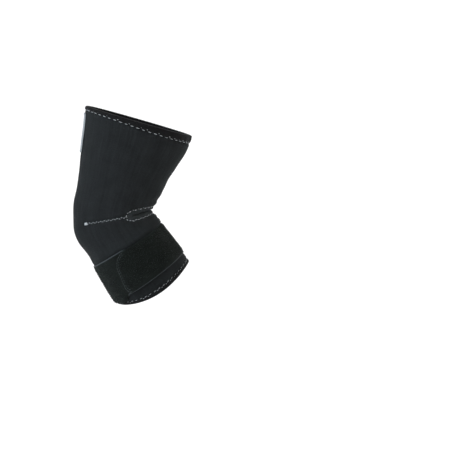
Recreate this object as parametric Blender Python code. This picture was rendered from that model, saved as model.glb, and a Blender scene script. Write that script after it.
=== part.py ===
"""An elbow brace in the form it has on a bent arm: a tube of foam rubber faced with knit, a thin
insert at the crook, bound edges, a wrap-around strap and a label patch. Metres, +Z up.

The elbow's centre is the origin, the arm bends in the XZ plane with the crook towards +X,
and the outer side of the arm faces -Y.
"""

import math
from collections import namedtuple

import bmesh
import bpy
import numpy as np

MM = 0.001

# Driving dimensions
WALL = 2.8 * MM
CLEARANCE = 0.35 * MM
BINDING_THICKNESS = 0.9 * MM
TOP_BINDING_AT_BACK = 5.5 * MM
TOP_BINDING_AT_FRONT = 8.0 * MM
BOTTOM_BINDING_WIDTH = 4.4 * MM
INNER_LEG_SHARE = 0.8
EDGE_TUCK = 1.1 * MM
# Shares of the binding's width where the sleeve is still pressed in, and where it is free again
TUCK_FULL_TO = 1.06
TUCK_GONE_BY = 1.4
STRAP_THICKNESS = 2.0 * MM
STRAP_INNER_END = math.radians(60)
STRAP_OUTER_END = math.radians(488)
STRAP_RAMP = math.radians(42)
# The share of the ramp in which the strap has climbed onto its own inner layer
STRAP_CLIMB_SHARE = 0.85
TONGUE_SPAN = math.radians(16)
TONGUE_TOP_RADIUS = 17 * MM
TONGUE_BOTTOM_RADIUS = 7 * MM
HOOK_THICKNESS = 0.9 * MM
HOOK_FROM = math.radians(70)
HOOK_TO = math.radians(122)
HOOK_MARGIN = 3 * MM
LABEL_THICKNESS = 0.8 * MM
LABEL_HALF_ANGLE = math.radians(21)
LABEL_TOP = 6.5 * MM
LABEL_HEIGHT = 42 * MM
LABEL_CORNER = 4 * MM
PANEL_THICKNESS = 1.2 * MM
PANEL_RECESS = 0.7 * MM
PANEL_VALLEY = 3.2 * MM
OVAL_HALF_ANGLE = math.radians(70)
OVAL_CAP_ANGLE = math.radians(13)
OVAL_RADIUS = 38 * MM
OVAL_MIDDLE_AT_FRONT = -2.0 * MM
OVAL_MIDDLE_FALL = 3.6 * MM
OVAL_HALF_HEIGHT_AT_FRONT = 4.8 * MM
OVAL_HALF_HEIGHT_AT_SIDE = 6.9 * MM
# Each tip of the oval is a short side, this share of the oval's height
OVAL_TIP_SHARE = 0.11

# How finely the pieces are divided
SEGMENTS_ROUND = 48
UPPER_RINGS = 9
ELBOW_RINGS = 12
LOWER_RINGS = 6
CUTTER_COLUMNS = 45
PANEL_COLUMNS = 33
PANEL_ROWS = 7
PATCH_ROWS = 5
STRAP_STEP = math.radians(8)
RAMP_COLUMNS = 4
TONGUE_COLUMNS = np.radians([0, 0.4, 1.5, 3, 5.5, 9, 13])
HOOK_COLUMNS = 9
LABEL_COLUMNS = 13
TIP_CROWDING = 0.55
SHARP_FROM = math.radians(55)

# The arm's sections, from the upper edge to the lower one. Each is a closed curve from its back
# point round the outer side to its front point. All are in millimetres but the last column:
# half_width is the reach to either side, side_dip how far the sides sag down the arm, and egg
# how much wider the front half is than the back half.
Section = namedtuple("Section", "name back_x back_z front_x front_z half_width side_dip egg")
SECTIONS = [
    Section("top_edge", -28.7, 126.5, 91.0, 92.5, 50.0, 0.0, 0.00),
    Section("biceps", -30.6, 107.0, 85.0, 76.0, 48.5, 0.0, 0.00),
    Section("mid_upper_arm", -33.8, 83.0, 73.4, 57.0, 45.5, 0.0, 0.02),
    Section("lower_upper_arm", -36.4, 58.5, 62.7, 40.5, 42.5, 0.0, 0.05),
    Section("above_elbow", -39.4, 34.5, 55.2, 24.0, 40.5, 0.0, 0.09),
    Section("elbow_upper", -43.2, 14.0, 49.2, 14.0, 39.5, 0.0, 0.13),
    Section("crook", -43.5, 0.0, 46.6, 7.0, 39.5, 0.5, 0.15),
    Section("elbow_lower", -42.4, -16.0, 49.2, 2.5, 40.0, 1.0, 0.14),
    Section("below_elbow", -37.2, -29.0, 52.2, -2.0, 40.8, 1.0, 0.10),
    Section("forearm_bulge", -28.0, -42.0, 53.8, -5.5, 41.6, 0.5, 0.07),
    Section("strap_top", -19.0, -57.0, 54.8, -8.8, 42.0, 0.0, 0.05),
    Section("strap_middle", -8.0, -76.4, 67.0, -24.8, 41.6, 0.0, 0.03),
    Section("strap_bottom", 3.8, -95.4, 79.4, -41.0, 41.0, 0.5, 0.02),
    Section("bottom_edge", 7.4, -99.4, 87.8, -51.0, 40.4, 10.2, 0.00),
]


def column(name):
    return np.array([getattr(section, name) for section in SECTIONS], float)


def scaled_column(name):
    return column(name) * MM


BACK = np.stack([scaled_column("back_x"), scaled_column("back_z")], axis=1)
FRONT = np.stack([scaled_column("front_x"), scaled_column("front_z")], axis=1)
CENTRES = (BACK + FRONT) / 2
STEPS = np.linalg.norm(np.diff(CENTRES, axis=0), axis=1)
STATIONS = np.concatenate([[0.0], np.cumsum(STEPS)])
STATION = {section.name: at for section, at in zip(SECTIONS, STATIONS, strict=True)}
COLUMNS = np.column_stack(
    [
        BACK,
        FRONT,
        scaled_column("half_width"),
        scaled_column("side_dip"),
        column("egg"),
    ]
)
SLOPES = np.gradient(COLUMNS, STATIONS, axis=0)

# The ends of the sleeve's level rings, and of the elbow, where they lie closest
FIRST_LEVEL_RING = 16 * MM
ELBOW_FROM = STATION["above_elbow"] + 6 * MM
ELBOW_TO = STATION["forearm_bulge"]
LAST_LEVEL_RING = STATION["strap_bottom"] - 8 * MM


def section_at(stations):
    """The table's values at any stations, by a smooth curve through its rows that runs on straight."""
    stations = np.asarray(stations, float)
    inside = np.clip(stations, STATIONS[0], STATIONS[-1])
    row = np.clip(np.searchsorted(STATIONS, inside) - 1, 0, len(STATIONS) - 2)
    span = STATIONS[row + 1] - STATIONS[row]
    t = ((inside - STATIONS[row]) / span)[:, None]
    span = span[:, None]
    values = (
        (2 * t**3 - 3 * t**2 + 1) * COLUMNS[row]
        + (t**3 - 2 * t**2 + t) * span * SLOPES[row]
        + (3 * t**2 - 2 * t**3) * COLUMNS[row + 1]
        + (t**3 - t**2) * span * SLOPES[row + 1]
    )
    end = np.where(stations < inside, 0, len(STATIONS) - 1)
    return values + (stations - inside)[:, None] * SLOPES[end]


def skin(stations, angles):
    """Points of the arm's outer surface. Angle 0 is the front, 90 degrees the outer side, 180 the back."""
    angles = np.asarray(angles, float)
    back_x, back_z, front_x, front_z, half_width, side_dip, egg = section_at(stations).T
    reach_x = (front_x - back_x) / 2
    reach_z = (front_z - back_z) / 2
    length = np.hypot(reach_x, reach_z)
    sag = side_dip * np.sin(angles) ** 2 / length
    x = (front_x + back_x) / 2 + reach_x * np.cos(angles) + reach_z * sag
    z = (front_z + back_z) / 2 + reach_z * np.cos(angles) - reach_x * sag
    y = -half_width * np.sin(angles) * (1 + egg * np.cos(angles))
    return np.stack([x, y, z], axis=1)


def down_the_arm(stations, angles):
    """How the surface point moves for each metre of station."""
    small = 0.5 * MM
    return (skin(stations + small, angles) - skin(stations - small, angles)) / (2 * small)


def offset_skin(stations, angles, offset):
    """Points that stand off the arm's outer surface by offset, outwards if it is positive."""
    stations, angles = np.broadcast_arrays(np.asarray(stations, float), angles)
    turn = 0.01
    round_it = skin(stations, angles + turn) - skin(stations, angles - turn)
    normal = np.cross(round_it, down_the_arm(stations, angles))
    normal /= np.linalg.norm(normal, axis=1)[:, None]
    return skin(stations, angles) + normal * np.broadcast_to(offset, angles.shape)[:, None]


def stretch(stations, angles):
    """How many metres of surface there are for each metre of station."""
    stations, angles = np.broadcast_arrays(np.asarray(stations, float), angles)
    return np.linalg.norm(down_the_arm(stations, angles), axis=1)


def from_edge(edge, angles, distance):
    """The stations that lie a distance in from the top or the bottom edge, past it if negative."""
    inwards = 1 if edge == "top_edge" else -1
    at_edge = np.full(len(angles), STATION[edge])
    return at_edge + inwards * np.asarray(distance) / stretch(at_edge, angles)


def binding_width(edge, angles):
    if edge == "bottom_edge":
        return np.full(len(angles), BOTTOM_BINDING_WIDTH)
    frontness = (1 + np.cos(angles)) / 2
    return TOP_BINDING_AT_BACK + (TOP_BINDING_AT_FRONT - TOP_BINDING_AT_BACK) * frontness


def smooth_step(x):
    x = np.clip(x, 0, 1)
    return x * x * (3 - 2 * x)


def crowded(count, crowding):
    """Values from -1 to 1 that lie closer together towards both ends."""
    even = np.linspace(-1, 1, count)
    return crowding * np.sin(even * math.pi / 2) + (1 - crowding) * even


def loft(bm, rings, closed_rings, closed_loft=False):
    """Bridges each ring of points to the next one, with Blender's bridge."""
    loops = []
    for ring in rings:
        verts = [bm.verts.new(point) for point in ring]
        pairs = list(zip(verts, verts[1:], strict=False))
        if closed_rings:
            pairs.append((verts[-1], verts[0]))
        loops.append((verts, [bm.edges.new(pair) for pair in pairs]))
    followers = loops[1:] + ([loops[0]] if closed_loft else [])
    for (_, edges), (_, next_edges) in zip(loops, followers, strict=False):
        bmesh.ops.bridge_loops(bm, edges=edges + next_edges)
    return [verts for verts, _ in loops]


def slab(bm, outer_lines, inner_lines):
    """A closed body between two sheets of points, each given as lines that run the long way."""
    rings = np.concatenate([outer_lines, inner_lines[::-1]])
    loops = loft(bm, np.swapaxes(rings, 0, 1), closed_rings=True)
    count = len(outer_lines)
    for end in (loops[0], loops[-1]):
        for k in range(count - 1):
            bm.faces.new((end[k], end[k + 1], end[2 * count - 2 - k], end[2 * count - 1 - k]))
    close_outwards(bm)


def face_outwards(bm, like):
    """Turns an open sheet's faces so that the first vertex's normal is like the one given."""
    bmesh.ops.recalc_face_normals(bm, faces=bm.faces)
    bm.verts.ensure_lookup_table()
    bm.normal_update()
    if bm.verts[0].normal.dot(like) < 0:
        bmesh.ops.reverse_faces(bm, faces=bm.faces)


def close_outwards(bm):
    """Turns a closed body's faces outwards."""
    bmesh.ops.recalc_face_normals(bm, faces=bm.faces)
    if bm.calc_volume(signed=True) < 0:
        bmesh.ops.reverse_faces(bm, faces=bm.faces)


def material(name, colour, roughness):
    made = bpy.data.materials.new(name)
    made.use_nodes = True
    shader = made.node_tree.nodes["Principled BSDF"]
    shader.inputs["Base Color"].default_value = (*colour, 1)
    shader.inputs["Roughness"].default_value = roughness
    shader.inputs["Metallic"].default_value = 0
    made.diffuse_color = (*colour, 1)
    return made


def add_object(name, bm):
    mesh = bpy.data.meshes.new(name)
    bm.to_mesh(mesh)
    bm.free()
    made = bpy.data.objects.new(name, mesh)
    bpy.context.scene.collection.objects.link(made)
    return made


def add_piece(name, bm, finish):
    piece = add_object(name, bm)
    piece.data.shade_smooth()
    piece.data.set_sharp_from_angle(angle=SHARP_FROM)
    piece.data.materials.append(finish)
    return piece


def thicken(sheet, thickness):
    """Gives a sheet its thickness inwards of the surface that it was drawn on."""
    wall = sheet.modifiers.new("wall", "SOLIDIFY")
    wall.thickness = thickness
    wall.offset = -1
    wall.use_even_offset = True


def outward_at(station, angle):
    points = offset_skin(np.array([station, station]), np.array([angle, angle]), np.array([0, MM]))
    return points[1] - points[0]


def full_turn():
    return np.linspace(0, 2 * math.pi, SEGMENTS_ROUND, endpoint=False)


def tuck_at(stations, angles):
    """How far the sleeve is pressed in under its two bindings."""
    tuck = np.zeros(len(angles))
    for edge in ("top_edge", "bottom_edge"):
        width = binding_width(edge, angles)
        distance = np.abs(stations - STATION[edge]) * stretch(STATION[edge], angles)
        beyond = distance / width - TUCK_FULL_TO
        tuck = np.maximum(tuck, 1 - smooth_step(beyond / (TUCK_GONE_BY - TUCK_FULL_TO)))
    return tuck * EDGE_TUCK


def sleeve_rows(angles):
    """The stations of the sleeve's rings: some beside each edge, and level ones in between."""
    top_width = binding_width("top_edge", angles)
    bottom_width = binding_width("bottom_edge", angles)
    top_rows = [
        from_edge("top_edge", angles, share * top_width)
        for share in (0, TUCK_FULL_TO, TUCK_GONE_BY)
    ]
    levels = np.concatenate(
        [
            np.linspace(FIRST_LEVEL_RING, ELBOW_FROM, UPPER_RINGS),
            np.linspace(ELBOW_FROM, ELBOW_TO, ELBOW_RINGS)[1:],
            np.linspace(ELBOW_TO, LAST_LEVEL_RING, LOWER_RINGS)[1:],
        ]
    )
    level_rows = [np.full(len(angles), level) for level in levels]
    bottom_rows = [
        from_edge("bottom_edge", angles, share * bottom_width)
        for share in (TUCK_GONE_BY, TUCK_FULL_TO, 0)
    ]
    between = (level_rows[-1] + bottom_rows[0]) / 2
    return [*top_rows, *level_rows, between, *bottom_rows]


def build_sleeve(finish):
    angles = full_turn()
    bm = bmesh.new()
    rings = [offset_skin(row, angles, -tuck_at(row, angles)) for row in sleeve_rows(angles)]
    loft(bm, rings, closed_rings=True)
    face_outwards(bm, outward_at(0, 0))
    sleeve = add_piece("sleeve", bm, finish)
    thicken(sleeve, WALL)
    return sleeve


def oval_end(inset):
    """The angle where the oval ends, drawn in by inset."""
    return OVAL_HALF_ANGLE - inset / OVAL_RADIUS


def oval_half_height(angles, inset):
    """Half the height of the oval at the crook. It is lowest at the front, where it is folded."""
    end = oval_end(inset)
    from_front = np.abs(angles)
    swell = smooth_step(from_front / (OVAL_HALF_ANGLE - OVAL_CAP_ANGLE))
    height = OVAL_HALF_HEIGHT_AT_FRONT * (1 - swell) + OVAL_HALF_HEIGHT_AT_SIDE * swell
    into_cap = np.clip((from_front - end + OVAL_CAP_ANGLE) / OVAL_CAP_ANGLE, 0, 1)
    closing = np.sqrt(np.maximum(1 - into_cap**2, 0))
    return (height - inset) * np.maximum(closing, OVAL_TIP_SHARE)


def oval_columns(inset, count, across):
    """The stations and angles of the oval's columns, from one tip round the front to the other."""
    angles = oval_end(inset) * crowded(count, TIP_CROWDING)
    falling = (1 - np.cos(angles)) / (1 - math.cos(OVAL_HALF_ANGLE))
    middle = STATION["crook"] + OVAL_MIDDLE_AT_FRONT + OVAL_MIDDLE_FALL * falling
    half = oval_half_height(angles, inset) / stretch(middle, angles)
    return [(middle + half * share, angles) for share in np.linspace(-1, 1, across)]


def build_crook_cutter():
    """A thick curved lens that cuts the oval out of the sleeve's wall."""
    inside, outside = -14 * MM, 12 * MM
    (upper, angles), (lower, _) = oval_columns(0, CUTTER_COLUMNS, 2)
    corners = [
        offset_skin(upper, angles, outside),
        offset_skin(lower, angles, outside),
        offset_skin(lower, angles, inside),
        offset_skin(upper, angles, inside),
    ]
    bm = bmesh.new()
    loops = loft(bm, np.stack(corners, axis=1), closed_rings=True)
    bm.faces.new(loops[0])
    bm.faces.new(loops[-1])
    close_outwards(bm)
    cutter = add_object("crook_cutter", bm)
    cutter.hide_render = True
    cutter.display_type = "WIRE"
    return cutter


def cut_oval(sleeve, cutter):
    cut = sleeve.modifiers.new("oval", "BOOLEAN")
    cut.operation = "DIFFERENCE"
    cut.object = cutter


def build_crook_panel(finish):
    """The thin insert in the oval, with a valley along its middle where the arm folds it."""
    lines = oval_columns(CLEARANCE, PANEL_COLUMNS, PANEL_ROWS)
    shares = np.linspace(-1, 1, PANEL_ROWS)
    outer, inner = [], []
    for share, (stations, angles) in zip(shares, lines, strict=True):
        fullness = oval_half_height(angles, CLEARANCE) / OVAL_HALF_HEIGHT_AT_SIDE
        depth = PANEL_RECESS + PANEL_VALLEY * (1 - share**2) ** 2 * np.clip(fullness, 0, 1)
        outer.append(offset_skin(stations, angles, -depth))
        inner.append(offset_skin(stations, angles, -depth - PANEL_THICKNESS))
    bm = bmesh.new()
    slab(bm, np.array(outer), np.array(inner))
    return add_piece("crook_panel", bm, finish)


def build_binding(name, edge, finish):
    """A tape folded over one edge of the sleeve, as a ring with a U-shaped profile."""
    angles = full_turn()
    width = binding_width(edge, angles)
    outer = -EDGE_TUCK + CLEARANCE + BINDING_THICKNESS
    under = -EDGE_TUCK + CLEARANCE
    over = -EDGE_TUCK - WALL - CLEARANCE
    inner = over - BINDING_THICKNESS
    lip = CLEARANCE + BINDING_THICKNESS
    # The fold's outer corners are cut back, and the tape's face drops a little towards them.
    turn_in = 0.8 * BINDING_THICKNESS
    drop = 0.1 * turn_in
    mid_width = 0.4 * width
    inner_width = INNER_LEG_SHARE * width
    # The distance in from the edge and the offset of each corner, round the profile
    profile = [
        (width, outer),
        (mid_width, outer),
        (-lip + turn_in, outer - drop),
        (-lip, outer - turn_in),
        (-lip, inner + turn_in),
        (-lip + turn_in, inner),
        (inner_width, inner),
        (inner_width, over),
        (-CLEARANCE, over),
        (-CLEARANCE, under),
        (mid_width, under),
        (width, under),
    ]
    loops = [
        offset_skin(from_edge(edge, angles, distance), angles, offset)
        for distance, offset in profile
    ]
    bm = bmesh.new()
    loft(bm, loops, closed_rings=True, closed_loft=True)
    close_outwards(bm)
    return add_piece(name, bm, finish)


def corner_inset(to_end, radius):
    """How far a rounded corner holds a side back, at a distance from the end."""
    reach = np.clip(radius - to_end, 0, radius)
    return radius - np.sqrt(np.maximum(radius**2 - reach**2, 0))


def build_patch(name, finish, top, bottom, angles, offsets, thickness, corners):
    """A piece that lies on the arm between two stations and a run of angles, with rounded corners.

    corners holds the radius of the top and bottom corner at the first end and at the last end.
    """
    middle = np.full(len(angles), (top + bottom) / 2)
    path = offset_skin(middle, angles, offsets)
    walked = np.concatenate([[0], np.cumsum(np.linalg.norm(np.diff(path, axis=0), axis=1))])
    left = walked[-1] - walked
    scale = stretch(middle, angles)
    (first_top, first_bottom), (last_top, last_bottom) = corners
    top_inset = np.maximum(corner_inset(walked, first_top), corner_inset(left, last_top))
    bottom_inset = np.maximum(corner_inset(walked, first_bottom), corner_inset(left, last_bottom))
    upper = top + top_inset / scale
    lower = bottom - bottom_inset / scale
    lines = [upper + (lower - upper) * share for share in np.linspace(0, 1, PATCH_ROWS)]
    outer = [offset_skin(line, angles, offsets + thickness) for line in lines]
    inner = [offset_skin(line, angles, offsets) for line in lines]
    bm = bmesh.new()
    slab(bm, np.array(outer), np.array(inner))
    return add_piece(name, bm, finish)


def strap_offset(angles):
    """The gap between sleeve and strap: small on the sleeve, larger where the strap lies on itself."""
    on_strap = STRAP_THICKNESS + HOOK_THICKNESS + 2 * CLEARANCE
    ramp_from = STRAP_INNER_END + 2 * math.pi - STRAP_RAMP
    climbed = smooth_step((angles - ramp_from) / (STRAP_CLIMB_SHARE * STRAP_RAMP))
    return CLEARANCE + on_strap * climbed


def strap_columns():
    """Even steps round the arm, with closer ones on the ramp and at the tongue's round corners."""
    count = round((STRAP_OUTER_END - STRAP_INNER_END) / STRAP_STEP)
    even = np.linspace(STRAP_INNER_END, STRAP_OUTER_END, count)
    before_tongue = even[even < STRAP_OUTER_END - TONGUE_SPAN]
    ramp_to = STRAP_INNER_END + 2 * math.pi
    ramp = np.linspace(ramp_to - STRAP_RAMP, ramp_to, RAMP_COLUMNS)
    return np.unique(np.concatenate([before_tongue, ramp, STRAP_OUTER_END - TONGUE_COLUMNS]))


def build_strap(finish):
    angles = strap_columns()
    square = (0, 0)
    tongue = (TONGUE_TOP_RADIUS, TONGUE_BOTTOM_RADIUS)
    return build_patch(
        "strap",
        finish,
        STATION["strap_top"],
        STATION["strap_bottom"],
        angles,
        strap_offset(angles),
        STRAP_THICKNESS,
        (square, tongue),
    )


def build_hook_tab(finish):
    """The hook tape between the strap's two layers."""
    angles = np.linspace(HOOK_FROM, HOOK_TO, HOOK_COLUMNS)
    return build_patch(
        "hook_tab",
        finish,
        STATION["strap_top"] + HOOK_MARGIN,
        STATION["strap_bottom"] - HOOK_MARGIN,
        angles,
        np.full(len(angles), 2 * CLEARANCE + STRAP_THICKNESS),
        HOOK_THICKNESS,
        ((0, 0), (TONGUE_TOP_RADIUS, 0)),
    )


def build_label_patch(finish):
    angles = math.pi + LABEL_HALF_ANGLE * crowded(LABEL_COLUMNS, TIP_CROWDING)
    rounded = (LABEL_CORNER, LABEL_CORNER)
    return build_patch(
        "label_patch",
        finish,
        LABEL_TOP,
        LABEL_TOP + LABEL_HEIGHT,
        angles,
        np.full(len(angles), CLEARANCE),
        LABEL_THICKNESS,
        (rounded, rounded),
    )


def clear_scene():
    for old in list(bpy.data.objects):
        bpy.data.objects.remove(old, do_unlink=True)


def main():
    clear_scene()
    sleeve_knit = material("black knit over foam rubber", (0.022, 0.026, 0.028), roughness=0.85)
    binding_tape = material("black binding tape", (0.012, 0.013, 0.014), roughness=0.8)
    loop_pile = material("black loop pile", (0.010, 0.012, 0.013), roughness=0.95)
    hook_tape = material("black hook tape", (0.014, 0.014, 0.015), roughness=0.6)
    stretch_knit = material("thin stretch knit", (0.014, 0.016, 0.017), roughness=0.9)
    label_cloth = material("light grey woven label", (0.52, 0.54, 0.56), roughness=0.7)
    sleeve = build_sleeve(sleeve_knit)
    cut_oval(sleeve, build_crook_cutter())
    build_crook_panel(stretch_knit)
    build_binding("top_binding", "top_edge", binding_tape)
    build_binding("bottom_binding", "bottom_edge", binding_tape)
    build_strap(loop_pile)
    build_hook_tab(hook_tape)
    build_label_patch(label_cloth)


main()
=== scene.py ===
"""The looks of an elbow brace in its worn form: foam rubber faced with jersey, a stretch insert at
the crook, taped hems with zigzag stitching, a loop-pile strap and a satin label. Metres, +Z up.

Angles run round the tube: 0 is the front, 90 degrees the outer side (-Y), 180 the back.
Stations run down the tube, from 0 at the upper edge.
"""

import math
from collections import namedtuple

import bpy
import numpy as np
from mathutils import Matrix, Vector


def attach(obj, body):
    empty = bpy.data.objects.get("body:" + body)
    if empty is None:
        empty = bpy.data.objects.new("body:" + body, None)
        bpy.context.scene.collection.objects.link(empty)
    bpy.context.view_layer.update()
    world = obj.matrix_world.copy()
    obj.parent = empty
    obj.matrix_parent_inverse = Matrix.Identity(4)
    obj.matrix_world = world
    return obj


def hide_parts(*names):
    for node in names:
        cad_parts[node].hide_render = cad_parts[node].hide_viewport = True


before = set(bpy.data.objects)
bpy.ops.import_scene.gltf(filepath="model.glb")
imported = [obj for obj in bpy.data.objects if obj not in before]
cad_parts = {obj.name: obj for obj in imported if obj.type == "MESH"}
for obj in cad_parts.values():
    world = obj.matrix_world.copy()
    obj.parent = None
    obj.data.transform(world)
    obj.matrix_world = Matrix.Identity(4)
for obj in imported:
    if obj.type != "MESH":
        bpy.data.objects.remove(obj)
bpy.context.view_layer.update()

MM = 0.001
TURN = 2 * math.pi

# Sizes. Those of the tapes, the oval, the label, the strap's end and the tube's front follow the
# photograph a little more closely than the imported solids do. The rest are the same.
WALL = 2.8 * MM
CLEARANCE = 0.35 * MM
TAPE = 0.9 * MM
TOP_TAPE_AT_BACK = 3.0 * MM
TOP_TAPE_AT_FRONT = 7.5 * MM

# The lower tape's width, at angles from the front
BOTTOM_TAPE_ANGLES = np.radians([0, 30, 60, 80, 100, 120, 140, 180])
BOTTOM_TAPE_WIDTHS = np.array([3.2, 3.3, 4.0, 4.3, 3.5, 2.9, 3.0, 3.2]) * MM

# How deep the tapes press the sleeve in, and how many tape widths in from the edge that ends
EDGE_TUCK = 1.1 * MM
TUCK_FULL_TO = 1.06
TUCK_GONE_BY = 1.4

STRAP_THICKNESS = 2.0 * MM
STRAP_INNER_END = math.radians(60)
STRAP_OUTER_END = math.radians(480.5)
STRAP_RAMP = math.radians(42)
STRAP_CLIMB_SHARE = 0.85
STRAP_RADIUS = 42 * MM
TONGUE_TOP_RADIUS = 16 * MM
TONGUE_BOTTOM_RADIUS = 7 * MM
# How far the tongue's upper corner lies short of its lower one
TONGUE_LEAN = math.radians(10)
TONGUE_LEAN_FROM = math.radians(425)
HOOK_THICKNESS = 0.9 * MM
HOOK_FROM = math.radians(70)
HOOK_TO = math.radians(112)
HOOK_MARGIN = 3 * MM
LABEL_THICKNESS = 0.8 * MM
LABEL_HALF_ANGLE = math.radians(18.8)
LABEL_TOP = 6.5 * MM
LABEL_HEIGHT = 42 * MM
LABEL_CORNER = 4 * MM
INSERT_THICKNESS = 1.2 * MM
INSERT_RECESS = 0.7 * MM
OVAL_HALF_ANGLE = math.radians(67.0)
OVAL_CAP_ANGLE = math.radians(10.5)
OVAL_RADIUS = 38 * MM
OVAL_MIDDLE_AT_FRONT = -2.0 * MM
OVAL_MIDDLE_FALL = 3.6 * MM
OVAL_HALF_HEIGHT_AT_FRONT = 4.4 * MM
OVAL_HALF_HEIGHT_AT_SIDE = 5.7 * MM
OVAL_TIP_SHARE = 0.11

# The dart seam's drop below the crook's station, at angles from the front
DART_ANGLES = np.radians([70, 90, 136, 180])
DART_DROPS = np.array([1.6, 2.9, 4.9, 5.4]) * MM
DART_END = math.radians(128.6)

# The tube's sections in millimetres, but for the last column. They are within 1.3 mm of the solids'.
Section = namedtuple("Section", "name back_x back_z front_x front_z half_width side_dip egg")
SECTIONS = [
    Section("top_edge", -28.7, 126.5, 92.0, 92.0, 50.0, 0.0, 0.00),
    Section("upper_swell", -30.6, 107.0, 86.0, 75.5, 48.5, 0.0, 0.00),
    Section("upper_middle", -33.8, 83.0, 74.2, 56.6, 45.5, 0.0, 0.02),
    Section("upper_taper", -36.4, 58.5, 63.4, 40.1, 42.5, 0.0, 0.05),
    Section("above_elbow", -39.4, 34.5, 55.5, 23.9, 40.5, 0.0, 0.09),
    Section("elbow_upper", -43.2, 14.0, 49.2, 14.0, 39.5, 0.0, 0.13),
    Section("crook", -43.5, 0.0, 46.6, 7.0, 39.5, 0.5, 0.15),
    Section("elbow_lower", -42.4, -16.0, 49.2, 2.5, 40.0, 1.0, 0.14),
    Section("below_elbow", -37.2, -29.0, 52.2, -2.0, 40.8, 1.0, 0.10),
    Section("lower_swell", -28.0, -42.0, 53.8, -5.5, 41.6, 0.5, 0.07),
    Section("strap_top", -19.0, -57.0, 55.3, -8.4, 42.0, 0.0, 0.05),
    Section("strap_middle", -8.0, -76.4, 67.6, -24.3, 41.6, 0.0, 0.03),
    Section("strap_bottom", 3.8, -95.4, 80.0, -40.5, 41.0, 0.5, 0.02),
    Section("bottom_edge", 7.4, -99.4, 88.1, -50.7, 40.4, 10.2, 0.00),
]


def column(name):
    return np.array([getattr(section, name) for section in SECTIONS], float)


def walked(points):
    """The distance walked along a line of points."""
    return np.concatenate([[0.0], np.cumsum(np.linalg.norm(np.diff(points, axis=0), axis=1))])


BACK = np.stack([column("back_x"), column("back_z")], axis=1) * MM
FRONT = np.stack([column("front_x"), column("front_z")], axis=1) * MM
STATIONS = walked((BACK + FRONT) / 2)
STATION = {section.name: at for section, at in zip(SECTIONS, STATIONS, strict=True)}
COLUMNS = np.column_stack(
    [BACK, FRONT, column("half_width") * MM, column("side_dip") * MM, column("egg")]
)
SLOPES = np.gradient(COLUMNS, STATIONS, axis=0)


# The tube's surface

def section_at(stations):
    """The table's values at any stations, by a smooth curve through its rows that runs on straight."""
    stations = np.asarray(stations, float)
    inside = np.clip(stations, STATIONS[0], STATIONS[-1])
    row = np.clip(np.searchsorted(STATIONS, inside) - 1, 0, len(STATIONS) - 2)
    span = (STATIONS[row + 1] - STATIONS[row])[..., None]
    t = (inside - STATIONS[row])[..., None] / span
    values = (
        (2 * t**3 - 3 * t**2 + 1) * COLUMNS[row]
        + (t**3 - 2 * t**2 + t) * span * SLOPES[row]
        + (3 * t**2 - 2 * t**3) * COLUMNS[row + 1]
        + (t**3 - t**2) * span * SLOPES[row + 1]
    )
    end = np.where(stations < inside, 0, len(STATIONS) - 1)
    return values + (stations - inside)[..., None] * SLOPES[end]


def skin(stations, angles):
    """Points of the sleeve's outer surface, in any shape of array."""
    stations, angles = np.broadcast_arrays(np.asarray(stations, float), np.asarray(angles, float))
    values = np.moveaxis(section_at(stations), -1, 0)
    back_x, back_z, front_x, front_z, half_width, side_dip, egg = values
    reach_x = (front_x - back_x) / 2
    reach_z = (front_z - back_z) / 2
    sag = side_dip * np.sin(angles) ** 2 / np.hypot(reach_x, reach_z)
    x = (front_x + back_x) / 2 + reach_x * np.cos(angles) + reach_z * sag
    z = (front_z + back_z) / 2 + reach_z * np.cos(angles) - reach_x * sag
    y = -half_width * np.sin(angles) * (1 + egg * np.cos(angles))
    return np.stack([x, y, z], axis=-1)


def unit(vectors):
    return vectors / np.linalg.norm(vectors, axis=-1, keepdims=True)


def down_the_sleeve(stations, angles):
    small = 0.5 * MM
    return (skin(stations + small, angles) - skin(stations - small, angles)) / (2 * small)


def outward(stations, angles):
    """The surface's outward normal."""
    small = 0.01
    round_it = skin(stations, angles + small) - skin(stations, angles - small)
    return unit(np.cross(round_it, down_the_sleeve(stations, angles)))


def off_skin(stations, angles, offset):
    stations, angles, offset = np.broadcast_arrays(
        np.asarray(stations, float), np.asarray(angles, float), offset
    )
    return skin(stations, angles) + outward(stations, angles) * offset[..., None]


def stretch(stations, angles):
    """How many metres of surface there are for each metre of station."""
    stations, angles = np.broadcast_arrays(np.asarray(stations, float), angles)
    return np.linalg.norm(down_the_sleeve(stations, angles), axis=-1)


def from_edge(edge, angles, distance):
    inwards = 1 if edge == "top_edge" else -1
    return STATION[edge] + inwards * distance / stretch(STATION[edge], angles)


def to_edge(edge, stations, angles):
    """How far in from an edge a point of the surface lies."""
    return np.abs(stations - STATION[edge]) * stretch(STATION[edge], angles)


def from_front(angles):
    """The angle away from the front, to either side, from 0 to 180 degrees."""
    return np.abs((np.asarray(angles) + math.pi) % TURN - math.pi)


def smooth_step(x):
    x = np.clip(x, 0, 1)
    return x * x * (3 - 2 * x)


def bell(x):
    return np.exp(-(x**2))


def tape_width(edge, angles):
    if edge == "bottom_edge":
        return np.interp(from_front(angles), BOTTOM_TAPE_ANGLES, BOTTOM_TAPE_WIDTHS)
    frontness = smooth_step((1 + np.cos(angles)) / 2)
    return TOP_TAPE_AT_BACK + (TOP_TAPE_AT_FRONT - TOP_TAPE_AT_BACK) * frontness


# Mesh making

def new_piece(name, mesh, finishes, replaced=()):
    mesh.shade_smooth()
    piece = bpy.data.objects.new(name, mesh)
    bpy.context.scene.collection.objects.link(piece)
    for finish in finishes:
        mesh.materials.append(finish)
    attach(piece, "root")
    if replaced:
        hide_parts(*replaced)
    return piece


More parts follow.
